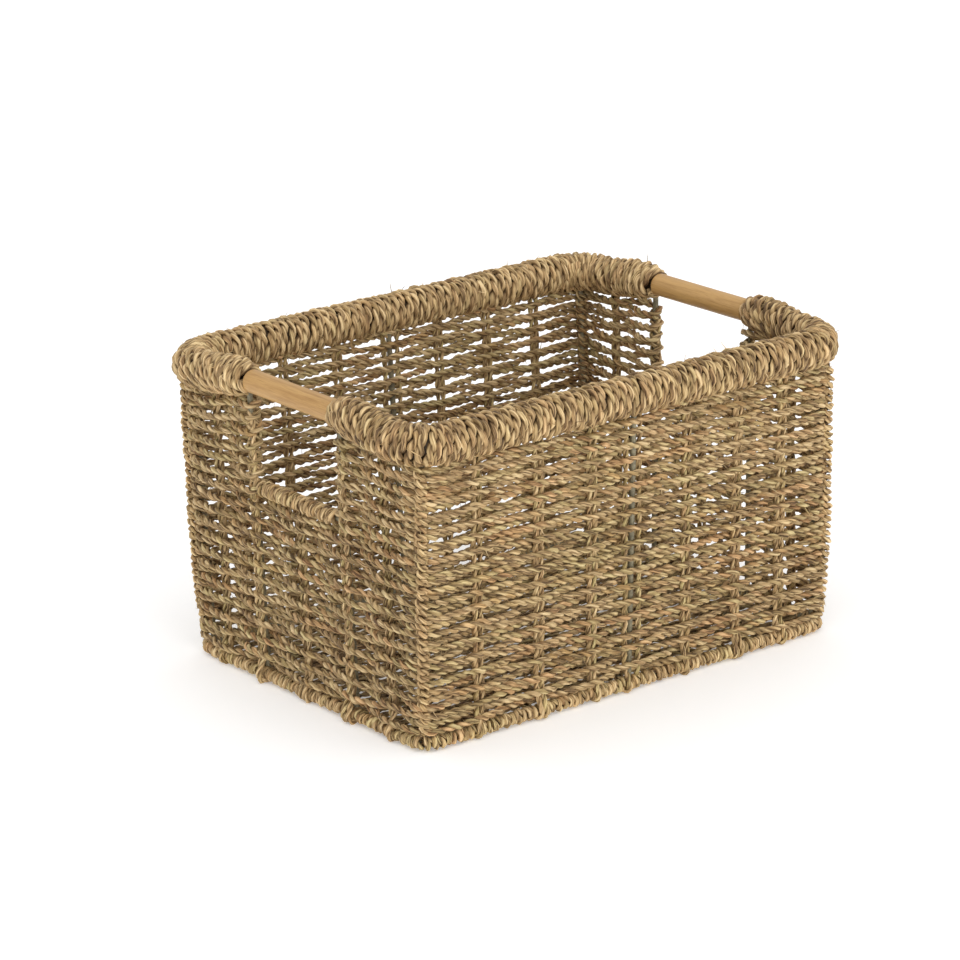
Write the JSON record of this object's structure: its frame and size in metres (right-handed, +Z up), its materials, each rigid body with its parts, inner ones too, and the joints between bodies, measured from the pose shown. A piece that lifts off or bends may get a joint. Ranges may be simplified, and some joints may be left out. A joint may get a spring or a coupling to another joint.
{
  "type": "seagrass storage basket",
  "caption": "Rectangular woven seagrass basket on a wire frame, with a fat wrapped rim and a turning wooden grip across the hand hole in each end.",
  "frame": {"origin": "middle of the basket's footprint, on the surface that it stands on", "axes": "+Z up; the long walls run along X, and the ends with the wooden grips face -X and +X"},
  "size_m": [0.4324, 0.3404, 0.2574],
  "materials": {
    "frame_steel": "dull grey-green wire",
    "grip_wood": "smooth turned light wood",
    "rim_seagrass": "loosely twisted dry seagrass, close wrapped",
    "core_seagrass": "bundled dry seagrass",
    "weft_seagrass": "two-ply twisted seagrass cord, plain weave",
    "stake_seagrass": "two-ply twisted seagrass cord",
    "edge_seagrass": "twisted seagrass cord, close wrapped",
    "base_seagrass": "two-ply twisted seagrass cord, plain weave"
  },
  "bodies": {
    "basket": {"rim_wire": "frame_steel", "base_wire": "frame_steel", "base_cross_wire": "frame_steel", "hand_hole_bar_left": "frame_steel", "hand_hole_bar_right": "frame_steel", "corner_post_front_left": "frame_steel", "corner_post_front_right": "frame_steel", "corner_post_back_left": "frame_steel", "corner_post_back_right": "frame_steel", "middle_post_front": "frame_steel", "middle_post_back": "frame_steel", "handle_post_left_front": "frame_steel", "handle_post_left_back": "frame_steel", "handle_post_right_front": "frame_steel", "handle_post_right_back": "frame_steel", "rim_wrap_front": "rim_seagrass", "rim_wrap_back": "rim_seagrass", "rim_core_front": "core_seagrass", "rim_core_back": "core_seagrass", "weft_lower": "weft_seagrass", "weft_upper_front": "weft_seagrass", "weft_upper_back": "weft_seagrass", "stake_front_1": "stake_seagrass", "stake_front_2": "stake_seagrass", "stake_front_3": "stake_seagrass", "stake_front_4": "stake_seagrass", "stake_front_5": "stake_seagrass", "stake_front_6": "stake_seagrass", "stake_front_middle_left": "stake_seagrass", "stake_front_middle_right": "stake_seagrass", "stake_back_1": "stake_seagrass", "stake_back_2": "stake_seagrass", "stake_back_3": "stake_seagrass", "stake_back_4": "stake_seagrass", "stake_back_5": "stake_seagrass", "stake_back_6": "stake_seagrass", "stake_back_middle_left": "stake_seagrass", "stake_back_middle_right": "stake_seagrass", "stake_left_front_post": "stake_seagrass", "stake_left_front": "stake_seagrass", "stake_left_back_post": "stake_seagrass", "stake_left_back": "stake_seagrass", "stake_left_middle": "stake_seagrass", "stake_right_front_post": "stake_seagrass", "stake_right_front": "stake_seagrass", "stake_right_back_post": "stake_seagrass", "stake_right_back": "stake_seagrass", "stake_right_middle": "stake_seagrass", "base_edge_wrap": "edge_seagrass", "hand_hole_wrap_left": "edge_seagrass", "hand_hole_wrap_right": "edge_seagrass", "base_weave": "base_seagrass"},
    "grip_left": {"handle_roll_left": "grip_wood"},
    "grip_right": {"handle_roll_right": "grip_wood"}
  },
  "joints": [
    {"name": "grip_left_turn", "type": "hinge", "parent": "basket", "child": "grip_left", "pos_m": [-0.2, 0, 0.242], "axis": [0, 1, 0], "continuous": true},
    {"name": "grip_right_turn", "type": "hinge", "parent": "basket", "child": "grip_right", "pos_m": [0.2, 0, 0.242], "axis": [0, 1, 0], "continuous": true}
  ]
}
